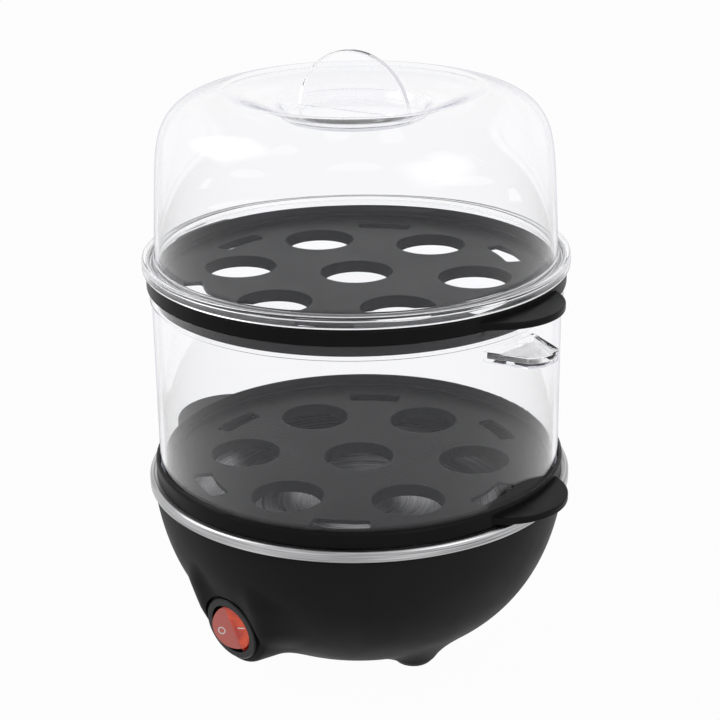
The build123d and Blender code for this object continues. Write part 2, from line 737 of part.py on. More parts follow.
def thermostat():
    """Round bimetal cut-out with two flat blades low on its sides."""
    body = disc(thermostat_r, strap_z, spreader_under)
    body = chamfer(body.edges().sort_by(Axis.Z)[0], thermostat_edge)
    span = 2 * (thermostat_r + thermostat_blade_length)
    blade = Pos(0, 0, strap_z + thermostat_blade_rise) * Box(
        thermostat_blade_width, span, thermostat_blade_thick, align=STAND)
    return body + blade


def thermostat_strap():
    strap = Pos(0, 0, strap_z - strap_thick) * Box(2 * strap_half, strap_width, strap_thick, align=STAND)
    for side in (-1, 1):
        strap -= Pos(side * strap_screw_offset, 0, 0) * disc(strap_screw_r + part_gap, 0, FAR)
    return strap


def strap_screws():
    seat = strap_z - strap_thick
    low = seat - strap_screw_head
    screw = disc(strap_screw_r, low, dish_under - part_gap)
    screw += disc(strap_screw_head_r, low, seat)
    screw -= Pos(0, 0, low) * Box(2 * strap_screw_head_r, strap_screw_slot, strap_screw_head)
    return [Pos(side * strap_screw_offset, 0, 0) * screw for side in (-1, 1)]


def thermal_fuse():
    return Pos(fuse_offset, 0, fuse_z) * Rot(90, 0, 0) * Cylinder(fuse_r, fuse_length)


def fuse_clip():
    """Bent strip that holds the fuse up against the spreader, with a foot on each side."""
    outer = fuse_r + clip_thick
    block = Pos(0, 0, fuse_z) * Rot(90, 0, 0) * Cylinder(outer, clip_width)
    block += Pos(0, 0, fuse_z) * Box(2 * outer, clip_width, fuse_r, align=STAND)
    block += Pos(0, 0, spreader_under - clip_thick) * Box(
        2 * (outer + clip_foot), clip_width, clip_thick, align=STAND)
    block -= Pos(0, 0, fuse_z) * Rot(90, 0, 0) * Cylinder(fuse_r, 2 * clip_width)
    block -= Pos(0, 0, fuse_z) * Box(2 * fuse_r, 2 * clip_width, fuse_r, align=STAND)
    block -= above(spreader_under)
    return Pos(fuse_offset, 0, 0) * block


# ---------------------------------------------------------------- leads
contact_end = switch_point(-blade_pitch, blade_end_z)
neon_end = switch_point(blade_pitch, blade_end_z)
tip_y = thermostat_r + thermostat_blade_length
tip_z = strap_z + thermostat_blade_rise + thermostat_blade_thick / 2


def past(point, dx, dy, dz):
    """Place at an offset from another place."""
    return point[0] + dx, point[1] + dy, point[2] + dz


def behind(blade_end, run):
    """Place straight behind a blade of the switch."""
    return past(blade_end, 0, run * math.cos(droop), run * math.sin(droop))


def pin_side(angle, approach):
    """Where a lead that comes along a level direction meets the side of an element pin."""
    x, y = polar(element_ring_r, angle)
    dx, dy = polar(element_pin_r, approach)
    return x - dx, y - dy, lead_z


def switch_lead():
    """From the fixed contact up to the near blade of the thermostat."""
    tip = (0, -tip_y, tip_z)
    return lead([contact_end, behind(contact_end, blade_run),
                 past(contact_end, lead_step, 2 * blade_run, blade_run + lead_step / 2),
                 past(tip, 0, -thermostat_run, 0), tip])


def heater_lead():
    """From the far blade of the thermostat down to one end of the element."""
    start, end = (0, tip_y, tip_z), pin_side(element_ends[1], heater_approach)
    return lead([start, past(start, 0, heater_run, 0),
                 past(start, lead_step / 2, 2 * heater_run, -heater_run),
                 past(end, -pin_run, lead_step / 2, 0), end])


def fuse_leads():
    """From the fuse to the other end of the element, and from the fuse into the crimp cap."""
    first = (fuse_offset, fuse_length / 2, fuse_z)
    pin = pin_side(element_ends[0], fuse_approach)
    second = (fuse_offset, -fuse_length / 2, fuse_z)
    mouth = (cap_x + lead_r, cap_y, cap_z)
    return [lead([first, past(first, 0, fuse_run, 0), past(first, lead_step / 3, 1.7 * fuse_run, -heater_run),
                  past(pin, -0.7 * pin_run, 0.4 * pin_run, 0), pin]),
            lead([second, past(second, 0, -fuse_drop, 0), past(second, 0, -2 * fuse_drop, -1.6 * fuse_drop),
                  past(mouth, 0, cap_run, 0), mouth])]


def neon_lead():
    """From the outer blade of the switch round into the crimp cap."""
    mouth = (cap_x - lead_r, cap_y, cap_z)
    return lead([neon_end, behind(neon_end, blade_run),
                 past(neon_end, lead_step, 2.2 * blade_run, lead_step),
                 past(neon_end, 3.5 * lead_step, 3.3 * blade_run, 2.5 * lead_step),
                 past(mouth, 0, cap_run, 0), mouth])


def crimp_cap():
    """Closed-end connector that joins two leads."""
    cap = Rot(90, 0, 0) * Cylinder(cap_r, cap_length, align=STAND)
    cap = fillet(cap.edges().sort_by(Axis.Y)[0], cap_edge)
    return Pos(cap_x, cap_y, cap_z) * cap


# ---------------------------------------------------------------- egg trays
def egg_tray(base_z, turn):
    """Floor with cupped holes and steam slots, a cover channel, a locating skirt and two tabs."""
    tray = disc(tray_rim_r, 0, tray_floor)
    lip = ring(channel_outer_r, tray_rim_r, 0, tray_lip_height)
    lip = fillet(lip.edges().filter_by(GeomType.CIRCLE).group_by(Axis.Z)[-1].sort_by(SortBy.RADIUS)[-1],
                 tray_lip_edge)
    tray += lip
    tray += ring(channel_inner_r - ridge_width, channel_inner_r, 0, ridge_height)
    tray += ring(tray_skirt_r - skirt_wall, tray_skirt_r, -skirt_drop, tray_floor)
    tab = Pos(tray_rim_r - tab_inset, 0, tab_top - tab_thick) * Cylinder(tab_r, tab_thick, align=STAND)
    tab = fillet(tab.edges().filter_by(GeomType.CIRCLE), tab_edge)
    tab -= disc((channel_outer_r + tray_rim_r) / 2, 0, FAR)
    for side in (0, 180):
        tray += spin(tab, side)
    cup_low_r = cup_hole_r - cup_taper
    collar = turned([(0, -cup_drop), (cup_low_r + cup_wall, -cup_drop), (cup_hole_r + cup_wall, 0),
                     (cup_hole_r + cup_wall, tray_floor), (0, tray_floor)])
    hole = turned([(0, -cup_drop), (cup_low_r, -cup_drop), (cup_hole_r, tray_floor), (0, tray_floor)])
    cups = [(0, 0)] + [polar(cup_pitch_r, 360 * (k + 0.5) / cup_count) for k in range(cup_count)]
    for x, y in cups:
        tray += Pos(x, y, 0) * collar
    for x, y in cups:
        tray -= Pos(x, y, 0) * hole
    sector = Sketch() + Circle(slot_outer_r) - Circle(slot_inner_r)
    reach = 2 * slot_outer_r
    wedge = Polyline((0, 0), (reach, -reach * math.tan(math.radians(slot_half_angle))),
                     (reach, reach * math.tan(math.radians(slot_half_angle))), close=True)
    outline = sector & make_face(wedge)
    slot = extrude(fillet(outline.vertices(), slot_corner), tray_floor)
    for k in range(cup_count):
        tray -= spin(slot, 360 * k / cup_count)
    return Pos(0, 0, base_z) * spin(tray, turn)


# ---------------------------------------------------------------- clear covers
def handle():
    """Open-topped finger tab: straight tapering sides, a bowed tip, thin walls on a thin floor."""
    def outline(inset):
        root = cover_outer_r - clear_wall / 2
        tip = handle_reach - handle_bow - inset
        lean_in = inset * (handle_half - handle_tip_half) / (handle_reach - cover_outer_r)
        half, tip_half = handle_half - inset + lean_in, handle_tip_half - inset
        sides = Polyline((tip, -tip_half), (root, -half), (root, half), (tip, tip_half))
        bow = ThreePointArc((tip, tip_half), (handle_reach - inset, 0), (tip, -tip_half))
        return make_face(sides + bow)

    block = extrude(outline(0), handle_height)
    hollow = Pos(0, 0, handle_floor) * extrude(outline(handle_wall), handle_height)
    hollow -= disc(cover_outer_r + handle_wall / 2, 0, FAR)
    return block - hollow - disc(cover_outer_r - clear_wall / 2, 0, FAR)


def middle_cover():
    top = middle_cover_z + cover_height
    inner = cover_outer_r - clear_wall
    band_z = top - band_height
    cover = turned([(inner, middle_cover_z), (cover_outer_r, middle_cover_z), (cover_outer_r, band_z),
                    (cover_outer_r + band_extra, band_z + band_extra / 2), (cover_outer_r + band_extra, top),
                    (inner, top)])
    for side in (0, 180):
        cover += Pos(0, 0, top - handle_drop - handle_height) * spin(handle(), cover_turn + side)
    return cover


def lid():
    """Clear dome with a stepped flange, a locating foot, a recessed top and a half-disc knob."""
    outside, well_z = dome_outline(0)
    inside, _ = dome_outline(lid_wall)
    shell = revolve(Plane.XZ * outside, axis=Axis.Z) - revolve(Plane.XZ * inside, axis=Axis.Z)
    plate_low = lid_flange_top - lid_flange_plate
    flange = ring(lid_wall_r - lid_wall / 2, lid_flange_r, plate_low, lid_flange_top)
    flange += ring(lid_flange_r - lid_skirt_wall, lid_flange_r, lid_seat_z, lid_flange_top)
    flange = fillet(flange.edges().filter_by(GeomType.CIRCLE).group_by(Axis.Z)[-1].sort_by(SortBy.RADIUS)[-1],
                    lid_flange_edge)
    foot_ring = ring(cover_outer_r - clear_wall, cover_outer_r, lid_foot_z, lid_flange_top)
    blade = Rot(90, 0, 0) * Cylinder(knob_r, knob_thick)
    blade = fillet(blade.edges().filter_by(GeomType.CIRCLE), knob_edge)
    knob_low = well_z - knob_root
    blade = Pos(0, 0, well_z + knob_rise - knob_r) * blade & above(knob_low)
    return shell + flange + foot_ring + spin(blade, knob_turn)


# ---------------------------------------------------------------- the pieces
pieces = {
    "base_housing": base_housing(),
    "bottom_cover": bottom_cover(),
    "bottom_screws": bottom_screws(),
    "cord_gland": cord_gland(),
    "switch_body": switch_body(),
    "switch_blades": switch_blades(),
    "switch_rocker": switch_rocker(),
    "rocker_marks": rocker_marks(),
    "contact_lever": contact_lever(),
    "neon_lamp": neon_lamp(),
    "heating_dish": heating_dish(),
    "dish_seal": dish_seal(),
    "dish_studs": dish_studs(),
    "stud_washers": stud_washers(),
    "earth_tag": earth_tag(),
    "stud_nuts": stud_nuts(),
    "heat_spreader": heat_spreader(),
    "heating_element": heating_element(),
    "thermostat": thermostat(),
    "thermostat_strap": thermostat_strap(),
    "strap_screws": strap_screws(),
    "thermal_fuse": thermal_fuse(),
    "fuse_clip": fuse_clip(),
    "switch_lead": switch_lead(),
    "heater_lead": heater_lead(),
    "fuse_leads": fuse_leads(),
    "neon_lead": neon_lead(),
    "crimp_cap": crimp_cap(),
    "lower_tray": egg_tray(lower_tray_z, lower_tray_turn),
    "middle_cover": middle_cover(),
    "upper_tray": egg_tray(upper_tray_z, upper_tray_turn),
    "lid": lid(),
}

os.makedirs("parts", exist_ok=True)
for name, shape in pieces.items():
    solids = shape if isinstance(shape, list) else [shape]
    export_step(Compound(children=[s for piece in solids for s in piece.solids()]), f"parts/{name}.step")
    print(name, "volume", round(sum(piece.volume for piece in solids), 1))
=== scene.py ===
"""Looks of the double-tier electric egg boiler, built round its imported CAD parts.

The scene is in metres, in the CAD frame: Z is up, the rocker switch faces -Y and the finger tabs
lie along X. The shapes are worked out in millimetres and scaled as their meshes are made."""
import json
import math

import bmesh
import bpy
import numpy as np
from mathutils import Matrix, Vector


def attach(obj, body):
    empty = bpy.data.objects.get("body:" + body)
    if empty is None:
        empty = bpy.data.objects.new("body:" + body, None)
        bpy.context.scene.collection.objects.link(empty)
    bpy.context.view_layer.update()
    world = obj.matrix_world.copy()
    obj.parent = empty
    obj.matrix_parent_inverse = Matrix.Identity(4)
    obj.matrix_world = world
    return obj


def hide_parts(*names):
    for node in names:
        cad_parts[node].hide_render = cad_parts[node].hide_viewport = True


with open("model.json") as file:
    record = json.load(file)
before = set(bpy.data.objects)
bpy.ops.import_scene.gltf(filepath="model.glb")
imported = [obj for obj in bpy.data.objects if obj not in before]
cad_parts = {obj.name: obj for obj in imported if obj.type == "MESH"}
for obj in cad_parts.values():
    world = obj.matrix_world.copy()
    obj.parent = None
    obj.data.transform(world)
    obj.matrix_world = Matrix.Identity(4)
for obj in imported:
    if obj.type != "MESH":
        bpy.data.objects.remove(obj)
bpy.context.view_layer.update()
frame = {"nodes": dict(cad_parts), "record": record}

MM = 0.001


# ---------------------------------------------------------------- node helpers
NOISE_LOW, NOISE_HIGH = 0.3, 0.7         # nearly all of a noise lies between these


def linear(hex_colour):
    """sRGB hex to the linear colour that a shader socket takes."""
    channels = [int(hex_colour[i:i + 2], 16) / 255 for i in (0, 2, 4)]
    return [c / 12.92 if c <= 0.04045 else ((c + 0.055) / 1.055) ** 2.4 for c in channels] + [1.0]


def add(tree, kind, feeds=None, **settings):
    """Adds one node. Settings name its properties or inputs. Feeds give an input, by its name or
    number, a link from a socket or a value."""
    node = tree.nodes.new(kind)
    for name, value in settings.items():
        if hasattr(node, name):
            setattr(node, name, value)
        else:
            node.inputs[name.replace("_", " ")].default_value = value
    for name, source in (feeds or {}).items():
        if isinstance(source, bpy.types.NodeSocket):
            tree.links.new(source, node.inputs[name])
        else:
            node.inputs[name].default_value = source
    return node


def new_material(name, colour, roughness, **sockets):
    """A Principled material with its constants on the shader's own sockets."""
    material = bpy.data.materials.new(name)
    material.use_nodes = True
    shader = material.node_tree.nodes["Principled BSDF"]
    shader.inputs["Base Color"].default_value = linear(colour)
    shader.inputs["Roughness"].default_value = roughness
    for socket, value in sockets.items():
        shader.inputs[socket.replace("_", " ")].default_value = value
    return material, material.node_tree, shader


def object_noise(tree, size_mm, detail=3.0):
    """Noise on Object coordinates whose features are about size_mm across."""
    place = add(tree, "ShaderNodeTexCoord").outputs["Object"]
    return add(tree, "ShaderNodeTexNoise", {"Vector": place}, Scale=1 / (size_mm * MM),
               Detail=detail).outputs["Fac"]


def spread(tree, value, low, high):
    """Maps a noise to a range."""
    return add(tree, "ShaderNodeMapRange", {"Value": value}, From_Min=NOISE_LOW,
               From_Max=NOISE_HIGH, To_Min=low, To_Max=high).outputs["Result"]


def bump(tree, shader, height, depth_mm):
    """Feeds a height of 0 to 1 to the shader's normal as a relief of depth_mm."""
    node = add(tree, "ShaderNodeBump", {"Height": height}, Strength=1.0, Distance=depth_mm * MM)
    tree.links.new(node.outputs["Normal"], shader.inputs["Normal"])


def set_ramp(ramp, dark, light):
    """Sets the two ends of a colour ramp."""
    for element, colour in zip(ramp.color_ramp.elements, (dark, light)):
        element.color = linear(colour)


# ---------------------------------------------------------------- materials
CLOUD_MM = 18.0                          # patches of slightly other gloss on large mouldings
STREAK_LONG, STREAK_APART = 45.0, 0.6    # brushing, as coarse as it needs to be to show
VALLEY = (0.391, -80.452, 28.287)        # middle of the rocker's valley, in mm
ACROSS = (0.9192, 0.1593, 0.3602)        # direction from there over the pressed facet
VALLEY_HALF = 0.3                        # half the width over which one red turns to the other
PAINTED_PATCH_MM = 5.0                      # size of the painted light and shade patches for the hollows behind the lens


def moulded_black(name, colour, roughness, level, grain_mm, grain_depth):
    """Injection-moulded polypropylene from a spark-textured mould: dark, with a soft sheen and a
    fine grain."""
    material, tree, shader = new_material(name, colour, roughness, Specular_IOR_Level=level)
    cloud = object_noise(tree, CLOUD_MM)
    tree.links.new(spread(tree, cloud, roughness - 0.04, roughness + 0.05),
                   shader.inputs["Roughness"])
    bump(tree, shader, object_noise(tree, grain_mm, detail=2.0), grain_depth)
    return material


def clear_plastic(name, tint):
    """Injection-moulded clear polystyrene: bright mirror gloss and crisp refraction, with a painted
    violet-grey shade where the wall is seen along its length. Light from the lamps passes straight
    through, so that what stands inside is lit, and so does a ray mirrored for the third time."""
    last_mirror, painted_shade_start, painted_shade_share = 2.5, 0.78, 0.6
    material, tree, shader = new_material(name, tint, 0.0, IOR=1.5, Transmission_Weight=1.0,
                                          Specular_Tint=linear("bcbcc0"))
    path = add(tree, "ShaderNodeLightPath").outputs
    spent = add(tree, "ShaderNodeMath", {0: path["Glossy Depth"], 1: last_mirror},
                operation="GREATER_THAN")
    pass_on = add(tree, "ShaderNodeMath", {0: path["Is Shadow Ray"], 1: spent.outputs[0]},
                  operation="MAXIMUM")
    through = add(tree, "ShaderNodeBsdfTransparent", Color=linear("f8f8f9"))
    slant = add(tree, "ShaderNodeLayerWeight", Blend=0.5)
    share = add(tree, "ShaderNodeMapRange", {"Value": slant.outputs["Facing"]},
                From_Min=painted_shade_start, To_Max=painted_shade_share)
    # painted shade: a violet grey let through in place of the clear wall where it is seen at a
    # slant
    edge = add(tree, "ShaderNodeBsdfTransparent", Color=linear("d2d2de"))
    body = add(tree, "ShaderNodeMixShader", {0: share.outputs["Result"], 1: shader.outputs["BSDF"],
                                             2: edge.outputs["BSDF"]})
    mix = add(tree, "ShaderNodeMixShader", {0: pass_on.outputs[0], 1: body.outputs["Shader"],
                                            2: through.outputs["BSDF"]})
    tree.links.new(mix.outputs["Shader"], tree.nodes["Material Output"].inputs["Surface"])
    return material


def brushed_steel(name, dark, light, roughness):
    """Stainless sheet, spun and brushed along its rim: bright, with long fine streaks round the
    axis. The noise is drawn out along X and Y, and fine in radius plus height."""
    material, tree, shader = new_material(name, light, roughness, Metallic=1.0)
    place = add(tree, "ShaderNodeTexCoord")
    split = add(tree, "ShaderNodeSeparateXYZ", {"Vector": place.outputs["Object"]})
    x, y, z = (split.outputs[axis] for axis in "XYZ")
    square = add(tree, "ShaderNodeMath", {0: x, 1: x}, operation="MULTIPLY")
    total = add(tree, "ShaderNodeMath", {0: y, 1: y, 2: square.outputs[0]},
                operation="MULTIPLY_ADD")
    radius = add(tree, "ShaderNodeMath", {0: total.outputs[0]}, operation="SQRT")
    across = add(tree, "ShaderNodeMath", {0: radius.outputs[0], 1: z}, operation="ADD")
    line = add(tree, "ShaderNodeCombineXYZ", {"X": x, "Y": y, "Z": across.outputs[0]})
    stretched = add(tree, "ShaderNodeMapping", {"Vector": line.outputs[0]},
                    Scale=[1 / (size * MM) for size in (STREAK_LONG, STREAK_LONG, STREAK_APART)])
    streaks = add(tree, "ShaderNodeTexNoise", {"Vector": stretched.outputs["Vector"]}, Scale=1.0,
                  Detail=3.0).outputs["Fac"]
    tone = add(tree, "ShaderNodeValToRGB", {"Fac": spread(tree, streaks, 0.0, 1.0)})
    set_ramp(tone, dark, light)
    tree.links.new(tone.outputs["Color"], shader.inputs["Base Color"])
    tree.links.new(spread(tree, streaks, roughness - 0.06, roughness + 0.1),
                   shader.inputs["Roughness"])
    bump(tree, shader, streaks, 0.01)
    return material


def plain(name, colour, roughness, **sockets):
    """A small part's finish: its own gloss with faint mottling, 4 mm across, of the roughness."""
    material, tree, shader = new_material(name, colour, roughness, **sockets)
    tree.links.new(spread(tree, object_noise(tree, 4.0), roughness - 0.03, roughness + 0.05),
                   shader.inputs["Roughness"])
    return material


def painted_glow_lens(name):
    """Clear red polycarbonate over a neon lamp. The facet that is pressed in at rest glows
    orange-red by painted light, with painted bright and dark patches for the hollows behind it. The
    raised one, on the other side of the valley, is painted a hazy paler red that stands for its
    sheen."""
    painted_glow_strength = 0.14
    material, tree, shader = new_material(name, "d8401c", 0.22, IOR=1.58, Specular_IOR_Level=0.25)
    place = add(tree, "ShaderNodeTexCoord").outputs["Object"]
    away = add(tree, "ShaderNodeVectorMath", {0: place, 1: [v * MM for v in VALLEY]},
               operation="SUBTRACT")
    along = add(tree, "ShaderNodeVectorMath", {0: away.outputs[0], 1: ACROSS},
                operation="DOT_PRODUCT")
    side = add(tree, "ShaderNodeMapRange", {"Value": along.outputs["Value"]},
               From_Min=-VALLEY_HALF * MM, From_Max=VALLEY_HALF * MM)
    # painted light and shade: bright and dark noise patches for the hollows behind the lens
    cloud = spread(tree, object_noise(tree, PAINTED_PATCH_MM, detail=1.0), 0.0, 1.0)
    painted_light_patches = add(tree, "ShaderNodeValToRGB", {"Fac": cloud})
    set_ramp(painted_light_patches, "bc1e0a", "f2500f")
    # painted sheen: the raised facet takes a hazy paler red in place of its reflection
    tone = add(tree, "ShaderNodeMixRGB", {"Fac": side.outputs["Result"],
                                          "Color2": painted_light_patches.outputs["Color"]},
               Color1=linear("e67f77"))
    tree.links.new(tone.outputs["Color"], shader.inputs["Base Color"])
    # painted glow: emission on the pressed facet, in the patch colours
    glow = add(tree, "ShaderNodeMapRange", {"Value": side.outputs["Result"]}, To_Max=painted_glow_strength)
    tree.links.new(painted_light_patches.outputs["Color"], shader.inputs["Emission Color"])
    tree.links.new(glow.outputs["Result"], shader.inputs["Emission Strength"])
    return material


FINISH = {
    # a charcoal that the light greys, with a grain that breaks up every highlight
    "housing_black": moulded_black("textured_black_polypropylene", "232324", 0.48, 0.05, 0.7, 0.03),
    # deeper and smoother than the housing, with a soft line of light on each edge
    "tray_black": moulded_black("satin_black_polypropylene", "181818", 0.34, 0.05, 1.2, 0.003),
    "clear_plastic": clear_plastic("clear_polystyrene", "fefeff"),
    "stainless": brushed_steel("brushed_stainless_sheet", "7c7c7e", "d4d4d5", 0.3),
    # moulded from a polished mould: black with a broad dim highlight
    "switch_black": plain("satin_black_nylon", "16171a", 0.3, Specular_IOR_Level=0.2),
    # red lens with a painted glow and a painted sheen
    "switch_red": painted_glow_lens("clear_red_polycarbonate"),
    # ink run into a groove: bright, with a soft dull surface
    "mark_white": plain("white_ink_fill", "fffaf6", 0.5),
    # cast ring: brick red with a dull skin
    "silicone_seal": plain("red_silicone", "9c2f22", 0.55),
    # moulded bush: near black, with hardly any shine
    "rubber_black": plain("black_rubber", "1d1d1d", 0.62),
    # plated fasteners and strips: pale grey with a blurred mirror
    "zinc_steel": plain("bright_zinc_plate", "c4c3bd", 0.28, Metallic=1.0),
    # bare stamped strip: warm yellow metal
    "brass": plain("stamped_brass", "c9a75c", 0.3, Metallic=1.0),
    # mill finish: light grey metal with a soft haze
    "spreader_aluminium": plain("rolled_aluminium", "cfcfd0", 0.4, Metallic=1.0),
    # drawn tube, darkened by heat: brownish grey metal
    "element_steel": plain("annealed_steel_sheath", "77736f", 0.42, Metallic=1.0),
    # pressed under heat: dark brown with an even gloss
    "bakelite": plain("brown_phenolic", "3a2419", 0.35),
    # deep-drawn can: light grey metal
    "fuse_shell": plain("drawn_aluminium_shell", "c3c3c0", 0.35, Metallic=1.0),
    # drawn bulb: as clear as the covers, with a warm tinge
    "lamp_glass": clear_plastic("lamp_glass", "fff1e4"),
    # extruded lead insulation: matt colours that tell the leads apart
    "lead_brown": plain("brown_silicone", "5a3320", 0.5),
    "lead_blue": plain("blue_silicone", "2b4e8f", 0.5),
    # braided sleeve: off-white and dull
    "lead_white": plain("white_glass_sleeve", "e2e0da", 0.6),
    # undyed moulding: ivory with a waxy shine
    "cap_nylon": plain("natural_nylon", "dcd8cc", 0.45),
}


# ---------------------------------------------------------------- CAD nodes keep their shape
SLOT_OF = {part["node"]: part["material_slot"] for part in frame["record"]["subparts"]}
for node, shape in frame["nodes"].items():
    shape.data.materials.clear()
    shape.data.materials.append(FINISH[SLOT_OF[node]])


# ---------------------------------------------------------------- shape helpers, in millimetres
CREASE = math.radians(32.0)              # edges that turn by more than this stay crisp


def link(name, data):
    """Object at the origin, in the scene, for a mesh, lamp or camera."""
    thing = bpy.data.objects.new(name, data)
    bpy.context.scene.collection.objects.link(thing)
    return thing


def weld(mesh, apart, outwards=False):
    """Merges points that are less than apart from each other, and can turn the faces outwards."""
    work = bmesh.new()
    work.from_mesh(mesh)
    bmesh.ops.remove_doubles(work, verts=work.verts, dist=apart * MM)
    if outwards:
        bmesh.ops.recalc_face_normals(work, faces=work.faces)
    work.to_mesh(mesh)
    work.free()


def smooth(mesh):
    """Smooth shading between crisp edges."""
    mesh.shade_smooth()
    mesh.set_sharp_from_angle(angle=CREASE)


def quads(rows, columns, close_rows):
    """Corner numbers of the four-sided cells of a grid whose points are stored row by row. The
    last column joins the first, and with close_rows the last row joins the first too."""
    i, j = np.meshgrid(np.arange(rows if close_rows else rows - 1), np.arange(columns),
                       indexing="ij")
    i, j = i.ravel(), j.ravel()
    up, along = (i + 1) % rows, (j + 1) % columns
    return np.stack([i * columns + j, up * columns + j, up * columns + along,
                     i * columns + along], axis=1)


def solid_mesh(name, points, faces):
    """Closed mesh object from points in millimetres. Doubled points at seams and poles are merged
    and the faces turned outwards."""
    mesh = bpy.data.meshes.new(name)
    mesh.from_pydata((np.asarray(points) * MM).tolist(), [], np.asarray(faces).tolist())
    weld(mesh, 0.002, outwards=True)
    smooth(mesh)
    return link(name, mesh)


def rounded(corners, steps=6):
    """Polyline through (x, y, radius) rows. Each corner with a radius becomes an arc tangent to
    both of its sides, with one more point close to each end of the arc to keep the sides flat."""
    most, near, near_share = 0.48, 0.25, 0.2
    corners = np.asarray(corners, float)
    out = [corners[0, :2]]
    for before, here, after in zip(corners, corners[1:], corners[2:]):
        arrive, leave = here[:2] - before[:2], after[:2] - here[:2]
        sides = np.linalg.norm(arrive), np.linalg.norm(leave)
        if here[2] == 0:
            out.append(here[:2])
            continue
        arrive, leave = arrive / sides[0], leave / sides[1]
        turn = math.acos(np.clip(arrive @ leave, -1, 1))
        reach = min(here[2] * math.tan(turn / 2), most * sides[0], most * sides[1])
        first, last = here[:2] - arrive * reach, here[:2] + leave * reach
        share = np.linspace(0, 1, steps + 1)[:, None]
        radius = reach / math.tan(turn / 2)
        inwards = (leave - arrive) / np.linalg.norm(leave - arrive)
        centre = here[:2] + inwards * radius / math.cos(turn / 2)
        arc = centre + (np.sin((1 - share) * turn) * (first - centre)
                        + np.sin(share * turn) * (last - centre)) / math.sin(turn)
        out += [first - arrive * min(near, near_share * sides[0]), *arc,
                last + leave * min(near, near_share * sides[1])]
    out.append(corners[-1, :2])
    return np.array(out)


def turned(name, profile, count, closed=False):
    """Profile of (radius, height) rows carried round Z: x = radius cos t, y = radius sin t. An
    open profile starts and ends on the axis."""
    profile = np.asarray(profile)
    t = np.linspace(0, 2 * math.pi, count, endpoint=False)
    radius, height = profile[:, :1], np.repeat(profile[:, 1:], count, axis=1)
    points = np.stack([radius * np.cos(t), radius * np.sin(t), height], axis=-1).reshape(-1, 3)
    return solid_mesh(name, points, quads(len(profile), count, closed))


def move_mesh(thing, matrix):
    """Turns and shifts a piece's points, in millimetres, and leaves its object at the origin."""
    matrix = matrix.copy()
    matrix.translation = matrix.translation * MM
    thing.data.transform(matrix)
    return thing


def merge_solids(thing, others, operation="UNION"):
    """Adds closed meshes to a piece, or cuts them out of it, so that no surface is left inside."""
    for other in others:
        step = thing.modifiers.new("merge", "BOOLEAN")
        step.object, step.operation, step.solver = other, operation, "MANIFOLD"
    view = bpy.context.evaluated_depsgraph_get()
    mesh = bpy.data.meshes.new_from_object(thing.evaluated_get(view))
    thing.modifiers.clear()
    thing.data = mesh
    for other in others:
        bpy.data.objects.remove(other)
    smooth(mesh)
    return thing


def dress(thing, body, slot, *nodes):
    """Gives a piece its body and the finish of its record slot, and hides the CAD nodes that it
    stands for."""
    thing.data.materials.clear()
    thing.data.materials.append(FINISH[slot])
    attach(thing, body)
    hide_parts(*nodes)


# ---------------------------------------------------------------- base housing
BOWL_TOP_R, BOWL_TOP_Z = 91.0, 76.5      # the bowl's upper edge
BOWL_WIDE_Z, BOWL_POWER = 98.7, 2.55     # where its curve would be widest, and the curve's power
BOWL_RISE, BOWL_DROP = 22.2, 101.2       # from there down to the edge, and to where it closes
BOTTOM_Z, OPENING_R = 6.0, 33.4          # underside of the bowl, and its bottom opening
DROOP = math.radians(8.0)                # the switch looks down this much
SWITCH_FACE = np.array([0.0, -81.466, 28.0])
SWITCH_OUT = np.array([0.0, -math.cos(DROOP), -math.sin(DROOP)])
SWITCH_UP = np.array([0.0, -math.sin(DROOP), math.cos(DROOP)])
BOSS_R, BOSS_FLARE, BOSS_COSINE = 17.2, 8 / 30, 0.966    # front radius, slope and its cosine
BOSS_FRONT, BOSS_BACK, BOSS_EDGE = 2.0, 32, 2.2          # depths behind the switch's face
FOOT_PITCH, FOOT_ANGLES = 44.0, (-16.0, 56.0, 124.0, 196.0)
FOOT_R, FOOT_FLARE, FOOT_COSINE = 8, 6.5 / 15, 0.918     # radius at the ground, slope, cosine
FOOT_EDGE, FOOT_FILLET = 3.5, 7.0
PAD_FACE, PAD_Z, PAD_R = 78.259, 32.0, 10.0              # the cord gland's pad, at the back
PAD_EDGE, PAD_ROOT, PAD_FILLET = 0.5, 70, 2.0            # the root lies inside the bowl
PROUD, SUNK = 0.05, -1.0                 # the skin's outside and inside, from the true surface


def bowl_radius(z):
    """Outer radius of the bowl, a superellipse: with s the share of the drop below the height
    where it would be widest, the radius follows the root of 1 less s to the power."""
    cut = (1 - (BOWL_RISE / BOWL_DROP) ** BOWL_POWER) ** (1 / BOWL_POWER)
    share = np.clip((BOWL_WIDE_Z - z) / BOWL_DROP, 0, 1)
    return BOWL_TOP_R / cut * (1 - share ** BOWL_POWER) ** (1 / BOWL_POWER)


def smooth_union(a, b, width):
    """Smaller of two distances, with a fillet where they differ by less than the width."""
    share = np.clip(0.5 + 0.5 * (b - a) / width, 0, 1)
    return b + (a - b) * share - width * share * (1 - share)


def round_edge(side, face, radius):
    """Distance to what lies within both a side and a face, with their common edge rounded."""
    side, face = side + radius, face + radius
    corner = np.hypot(np.maximum(side, 0), np.maximum(face, 0))
    return np.minimum(np.maximum(side, face), 0) + corner - radius


def ease(value, start, end):
    """0 before the start, 1 after the end, and a smooth step between."""
    share = np.clip((value - start) / (end - start), 0, 1)
    return share * share * (3 - 2 * share)


def swell(x, up):
    """Width of the fillet from boss to bowl: 2 mm in the middle and high above the switch, 5 mm
    on the flanks below the switch and 16 mm beside it, with smooth steps between."""
    flanks = (3 + 11 * ease(up, -12, 4)) * ease(np.abs(x), 4, 22)
    return 2 + flanks * (1 - ease(up, 14, 34))


